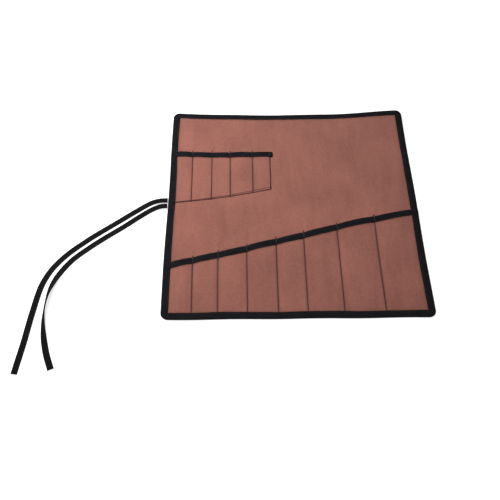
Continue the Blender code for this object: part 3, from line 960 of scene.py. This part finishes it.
class ROLL_OT_small_pockets(bpy.types.Operator):
    """Add the fronts and the mouth tape of the small pockets"""
    bl_idname = "roll.small_pockets"
    bl_label = "Small pockets"

    def execute(self, context):
        scene = context.scene
        last = max(i for i in range(PIECES) if PIECE_EDGES[i] < SMALL_END)
        for index in range(last + 1):
            low, high = PIECE_EDGES[index], PIECE_EDGES[index + 1]
            x0 = low + (EDGE_WALL if index == 0 else 0.0)
            x1 = min(high, SMALL_END)
            front = add_front(scene, "small", index, x0, x1)
            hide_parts("small_pocket_front_%d" % (index + 1))
            x0 = low + (FOLD_WIDTH - UNDER_TAPE if index == 0 else 0.0)
            x1 = min(high, SMALL_TAPE_END)
            points, faces, uv = mouth_tape(scene.roll_pockets, scene.roll_tape, "small", x0, x1)
            tape = finished_mesh("small_mouth_tape_cloth_%d" % (index + 1),
                                 drape(scene.roll_canvas, points), faces, uv, tape_of(scene))
            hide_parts("small_pocket_mouth_tape_%d" % (index + 1))
            fold_blend(tape)
        return {"FINISHED"}


class ROLL_OT_edge_tape(bpy.types.Operator):
    """Add the tape folded round the whole edge of the case"""
    bl_idname = "roll.edge_tape"
    bl_label = "Edge tape"

    def execute(self, context):
        scene = context.scene
        tape = scene.roll_tape
        for index in range(PIECES):
            low, high = PIECE_EDGES[index], PIECE_EDGES[index + 1]
            if index == 0:
                runs = [end_run(-1, high)]
            elif index == PIECES - 1:
                runs = [end_run(1, low)]
            else:
                runs = [straight_run((low, FAR), (high, FAR), (0.0, -1.0)),
                        straight_run((low, NEAR), (high, NEAR), (0.0, 1.0))]
            points, faces, uv = joined([swept_tape(run, tape) for run in runs])
            piece = finished_mesh("edge_tape_%d" % (index + 1),
                                  drape(scene.roll_canvas, points), faces, uv, tape_of(scene))
            stand_for("far_edge_tape_", index, PIECES - 1)
            stand_for("near_edge_tape_", index, PIECES - 1)
            if index == 0:
                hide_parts("left_edge_tape")
            if index == PIECES - 1:
                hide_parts("right_edge_tape")
            fold_blend(piece)
        return {"FINISHED"}


def divider_lines(scene, index):
    """Stitched lines between the pockets that lie on one piece."""
    lines = []
    for x in STITCHED:
        if holds(index, x):
            ys = spaced(NEAR + FOLD_WIDTH - 1.0 * MM, brush_mouth(x), 3.0 * MM)
            lines.append(surface_line(scene, np.full_like(ys, x), ys, 0.05 * MM))
    for x in SMALL_STITCHES:
        if holds(index, x):
            ys = spaced(small_seam(x), SMALL_MOUTH, 3.0 * MM)
            lines.append(surface_line(scene, np.full_like(ys, x), ys, 0.05 * MM))
    x = SMALL_END - 1.3 * MM
    if holds(index, x):
        ys = spaced(small_seam(x) + 0.8 * MM, SMALL_MOUTH, 3.0 * MM)
        lines.append(surface_line(scene, np.full_like(ys, x), ys, 0.05 * MM))
    xs = spaced(LEFT + FOLD_WIDTH, SMALL_END - 1.0 * MM, 2.0 * MM)
    share = (xs - xs[0]) / (xs[-1] - xs[0])
    for rise in (0.6 * MM + 0.0 * share, 1.4 * MM + 2.9 * MM * share):
        for part_x, part_y in pieces_of_line(xs, small_seam(xs) + rise, index):
            lines.append(surface_line(scene, part_x, part_y, 0.03 * MM))
    return lines


def bar_tacks(scene, index):
    """Short dense bars over the mouth tape at the top of each stitched line."""
    lines = []
    tops = [(x, brush_mouth(x), 10.5 * MM) for x in STITCHED]
    tops += [(x, SMALL_MOUTH, 4.0 * MM) for x in SMALL_STITCHES]
    for x, mouth, reach in tops:
        if not holds(index, x):
            continue
        for offset in (-0.45 * MM, 0.0, 0.45 * MM):
            ys = spaced(mouth - reach, mouth + 3.6 * MM, 0.9 * MM)
            lines.append(surface_line(scene, np.full_like(ys, x + offset), ys, 0.12 * MM))
    for x in SMALL_STITCHES:
        if holds(index, x):
            ys = spaced(small_seam(x) - 0.4 * MM, small_seam(x) + 5.0 * MM, 0.9 * MM)
            lines.append(surface_line(scene, np.full_like(ys, x), ys, 0.12 * MM))
    return lines


def tape_lines(scene, index):
    """Topstitching along the inner edge of every tape on one piece."""
    lines = []
    groove = 0.84 * FOLD_WIDTH
    tape = scene.roll_tape
    xs = spaced(LEFT + FOLD_WIDTH, RIGHT - FOLD_WIDTH, 2.0 * MM)
    for mouth, end in ((brush_mouth(xs), RIGHT), (np.full_like(xs, SMALL_MOUTH), SMALL_TAPE_END)):
        keep = xs < end
        for part_x, part_y in pieces_of_line(xs[keep], mouth[keep] - groove, index):
            lines.append(surface_line(scene, part_x, part_y, -0.6 * tape.dome - 0.1 * MM))
    low = max(PIECE_EDGES[index], LEFT + groove)
    high = min(PIECE_EDGES[index + 1], RIGHT - groove)
    edges = [((low, FAR - groove), (high, FAR - groove)),
             ((low, NEAR + groove), (high, NEAR + groove))]
    if index == 0:
        edges.append(((low, NEAR + groove), (low, FAR - groove)))
    if index == PIECES - 1:
        edges.append(((high, NEAR + groove), (high, FAR - groove)))
    for (ax, ay), (bx, by) in edges:
        count = max(2, int(max(abs(bx - ax), abs(by - ay)) / (2.0 * MM)))
        x = np.linspace(ax, bx, count)
        y = np.linspace(ay, by, count)
        z = stack_top(x, y) + TOUCH + TAPE - tape.groove + 0.08 * MM
        lines.append(drape(scene.roll_canvas, np.stack([x, y, z], axis=1)))
    return lines


class ROLL_OT_stitching(bpy.types.Operator):
    """Add the stitched lines, the bar tacks and the topstitching of the tapes"""
    bl_idname = "roll.stitching"
    bl_label = "Stitching"

    def execute(self, context):
        scene = context.scene
        stitch = scene.roll_stitches
        brown = shared("dark_thread", thread_material, "dark_thread", tuple(stitch.colour))
        black = shared("black_thread", thread_material, "black_thread", BLACK_THREAD)
        size = (stitch.pitch, stitch.length, stitch.thickness)
        tack = (1.1 * MM, 1.6 * MM, 0.75 * MM)
        fine = (2.4 * MM, 1.9 * MM, 0.5 * MM)
        for index in range(PIECES):
            for name, lines, (pitch, length, thickness), thread, slot in (
                    ("pocket_stitches", divider_lines(scene, index), size, brown, "canvas"),
                    ("bar_tacks", bar_tacks(scene, index), tack, brown, "binding_tape"),
                    ("tape_stitches", tape_lines(scene, index), fine, black, "binding_tape")):
                if not lines:
                    continue
                piece = sewn("%s_%d" % (name, index + 1), lines, pitch, length, thickness,
                             thread)
                fold_blend(piece)
        return {"FINISHED"}


def smooth_route(route, steps):
    """Catmull-Rom samples along a route: x, y, z in metres and the turn in radians."""
    start_x = LEFT - TIE_EXIT_GAP
    points = [Vector((start_x + x * MM, y * MM, z * MM, math.radians(turn)))
              for x, y, z, turn in route]
    padded = [points[0] * 2 - points[1]] + points + [points[-1] * 2 - points[-2]]
    samples = []
    for a, b, c, d in zip(padded, padded[1:], padded[2:], padded[3:]):
        for step in range(steps):
            t = step / steps
            samples.append(0.5 * (
                b * 2 + (c - a) * t
                + (a * 2 - b * 5 + c * 4 - d) * t ** 2
                + (b * 3 - a - c * 3 + d) * t ** 3
            ))
    samples.append(points[-1])
    return samples


def tie_section(width, thickness):
    """(across, up) points round a flat woven tape with thicker edges and a soft crease
    along its middle."""
    half, t = width / 2, thickness / 2
    top = [(-half, 0.0), (-0.94 * half, 0.85 * t), (-0.8 * half, t), (-0.45 * half, 0.8 * t),
           (-0.1 * half, 0.75 * t), (0.0, 0.35 * t), (0.1 * half, 0.75 * t),
           (0.45 * half, 0.8 * t), (0.8 * half, t), (0.94 * half, 0.85 * t), (half, 0.0)]
    under = [(u, -v) for u, v in reversed(top[1:-1])]
    return top + under


def add_tie(scene, name, node_name, route, phase):
    settings = scene.roll_ties
    samples = smooth_route(route, settings.steps)
    section = tie_section(settings.width, settings.thickness)
    rings, path, lengths = [], [], [0.0]
    for i, sample in enumerate(samples):
        before = samples[max(0, i - 1)].xyz
        after = samples[min(len(samples) - 1, i + 1)].xyz
        along = (after - before).normalized()
        level = Vector((along.y, -along.x, 0.0)).normalized()
        across = Matrix.Rotation(sample.w, 3, along) @ level
        up = across.cross(along)
        if up.z < 0:
            up = -up
        reach = settings.width / 2 * abs(math.sin(sample.w)) + settings.thickness / 2
        centre = Vector((sample.x, sample.y, max(sample.z, reach + 0.1 * MM)))
        if i:
            lengths.append(lengths[-1] + (centre - path[-1]).length)
        free = smoothstep(lengths[-1] / (40.0 * MM))
        centre.z += 0.15 * MM * float(free) * (1.0 + math.sin(lengths[-1] / (9.0 * MM) + phase))
        path.append(centre)
        curl = 0.35 * MM * math.sin(lengths[-1] / (21.0 * MM) + phase)
        ring = []
        for u, v in section:
            bend = curl * (2.0 * u / settings.width) ** 2
            ring.append(centre + across * u + up * (v + max(bend, 0.0)))
        rings.append([tuple(point) for point in ring])
    points, faces, uv = sweep(rings, lengths, section_turns(section))
    colour = tuple(settings.colour)
    woven = shared("woven_tie", tape_material, "woven_tie", colour, 0.8 * MM, 0.02)
    piece = finished_mesh(name, points, faces, uv, woven)
    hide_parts(node_name)
    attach(piece, ROOT)


class ROLL_OT_ties(bpy.types.Operator):
    """Add the two tie tapes and the stitching that holds them in the edge tape"""
    bl_idname = "roll.ties"
    bl_label = "Ties"

    def execute(self, context):
        scene = context.scene
        add_tie(scene, "tie_back_cloth", "tie_tape_back", TIE_BACK_ROUTE, 0.4)
        add_tie(scene, "tie_front_cloth", "tie_tape_front", TIE_FRONT_ROUTE, 2.2)
        black = shared("black_thread", thread_material, "black_thread", BLACK_THREAD)
        x0, x1 = LEFT + 1.8 * MM, LEFT + 8.0 * MM
        y0, y1 = -4.0 * MM, 14.0 * MM
        square = [(x0, y0), (x1, y0), (x1, y1), (x0, y1), (x0, y0)]
        strokes = list(zip(square, square[1:])) + [((x0, y0), (x1, y1)), ((x0, y1), (x1, y0))]
        lines = []
        for (ax, ay), (bx, by) in strokes:
            x = np.linspace(ax, bx, 12)
            y = np.linspace(ay, by, 12)
            z = stack_top(x, y) + TOUCH + TAPE + 0.8 * scene.roll_tape.dome
            lines.append(drape(scene.roll_canvas, np.stack([x, y, z], axis=1)))
        piece = sewn("tie_anchor_stitches", lines, 1.9 * MM, 1.7 * MM, 0.5 * MM, black)
        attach(piece, ROOT)
        return {"FINISHED"}


class ROLL_OT_stage(bpy.types.Operator):
    """Add the camera, the floor and the lamps"""
    bl_idname = "roll.stage"
    bl_label = "Stage"

    def execute(self, context):
        scene = context.scene
        settings = scene.roll_stage
        add_camera(scene, settings)
        add_floor(scene)
        add_lamp("key_lamp", (-0.62, 0.42, 0.95), (-0.17, 0.03, 0.0), 0.6,
                 settings.key_power, 95.0)
        add_lamp("front_lamp", (0.2, -1.2, 1.2), (0.0, 0.0, 0.0), 1.1,
                 0.2 * settings.key_power, 180.0)
        world = scene.world or bpy.data.worlds.new("room")
        scene.world = world
        world.use_nodes = True
        background = world.node_tree.nodes["Background"]
        background.inputs["Color"].default_value = (1.0, 1.0, 1.0, 1.0)
        tree = world.node_tree
        path = node(tree, "ShaderNodeLightPath")
        lit = node(tree, "ShaderNodeMapRange")
        lit.inputs["To Min"].default_value = settings.fill
        tree.links.new(path.outputs["Is Camera Ray"], lit.inputs["Value"])
        tree.links.new(lit.outputs["Result"], background.inputs["Strength"])
        scene.view_settings.view_transform = "Standard"
        return {"FINISHED"}


def add_camera(scene, settings):
    data = bpy.data.cameras.new("camera")
    data.lens = settings.lens
    data.sensor_width = 36.0
    data.clip_start = 0.01
    camera = bpy.data.objects.new("camera", data)
    look = Vector((0.0, math.cos(settings.tilt), -math.sin(settings.tilt)))
    right = Vector((1.0, 0.0, 0.0))
    up = right.cross(look)
    lean = Matrix.Rotation(settings.roll, 3, -look)
    right, up = lean @ right, lean @ up
    place = Matrix((right, up, -look)).transposed().to_4x4()
    place.translation = Vector((LEFT + 0.125, NEAR - 0.441, 0.843))
    camera.matrix_world = place
    scene.collection.objects.link(camera)
    scene.camera = camera


def add_floor(scene):
    """A white floor: it keeps its soft shadows, and clips to white away from them."""
    shape = bmesh.new()
    bmesh.ops.create_grid(shape, x_segments=1, y_segments=1, size=6.0)
    data = bpy.data.meshes.new("floor")
    shape.to_mesh(data)
    shape.free()
    floor = bpy.data.objects.new("floor", data)
    scene.collection.objects.link(floor)
    material = bpy.data.materials.new("white_floor")
    material.use_nodes = True
    tree = material.node_tree
    tree.nodes.clear()
    output = tree.nodes.new("ShaderNodeOutputMaterial")
    diffuse = tree.nodes.new("ShaderNodeBsdfDiffuse")
    diffuse.inputs["Color"].default_value = (0.82, 0.82, 0.82, 1.0)
    glow = tree.nodes.new("ShaderNodeEmission")
    glow.inputs["Color"].default_value = (1.0, 1.0, 1.0, 1.0)
    glow.inputs["Strength"].default_value = 0.75
    both = tree.nodes.new("ShaderNodeAddShader")
    chosen = tree.nodes.new("ShaderNodeMixShader")
    path = tree.nodes.new("ShaderNodeLightPath")
    tree.links.new(diffuse.outputs["BSDF"], both.inputs[0])
    tree.links.new(glow.outputs["Emission"], both.inputs[1])
    tree.links.new(path.outputs["Is Camera Ray"], chosen.inputs["Fac"])
    tree.links.new(diffuse.outputs["BSDF"], chosen.inputs[1])
    tree.links.new(both.outputs["Shader"], chosen.inputs[2])
    tree.links.new(chosen.outputs["Shader"], output.inputs["Surface"])
    data.materials.append(material)


def add_lamp(name, place, aim, size, power, spread):
    data = bpy.data.lights.new(name, "AREA")
    data.shape = "SQUARE"
    data.size = size
    data.energy = power
    data.spread = math.radians(spread)
    lamp = bpy.data.objects.new(name, data)
    lamp.location = place
    direction = Vector(aim) - Vector(place)
    lamp.rotation_euler = direction.to_track_quat("-Z", "Y").to_euler()
    bpy.context.scene.collection.objects.link(lamp)


STEPS = (ROLL_OT_stage, ROLL_OT_canvas_panel, ROLL_OT_brush_pockets, ROLL_OT_small_pockets,
         ROLL_OT_edge_tape, ROLL_OT_stitching, ROLL_OT_ties)
SETTINGS = {
    "roll_canvas": CanvasSettings, "roll_pockets": PocketSettings, "roll_tape": TapeSettings,
    "roll_stitches": StitchSettings, "roll_ties": TieSettings, "roll_stage": StageSettings,
}


class ROLL_PT_panel(bpy.types.Panel):
    bl_idname = "ROLL_PT_panel"
    bl_label = "Brush Roll Case"
    bl_space_type = "VIEW_3D"
    bl_region_type = "UI"
    bl_category = "Brush Roll"

    def draw(self, context):
        for step in STEPS:
            self.layout.operator(step.bl_idname)
        for name in SETTINGS:
            group = getattr(context.scene, name)
            for key in group.bl_rna.properties.keys():
                if key not in ("rna_type", "name"):
                    self.layout.prop(group, key)


def register():
    for cls in (*SETTINGS.values(), *STEPS, ROLL_PT_panel):
        bpy.utils.register_class(cls)
    for name, cls in SETTINGS.items():
        setattr(bpy.types.Scene, name, PointerProperty(type=cls))


def unregister():
    for name in SETTINGS:
        delattr(bpy.types.Scene, name)
    for cls in reversed((*SETTINGS.values(), *STEPS, ROLL_PT_panel)):
        bpy.utils.unregister_class(cls)


def main():
    register()
    for step in STEPS:
        group, name = step.bl_idname.split(".")
        getattr(getattr(bpy.ops, group), name)()


if __name__ == "__main__":
    main()
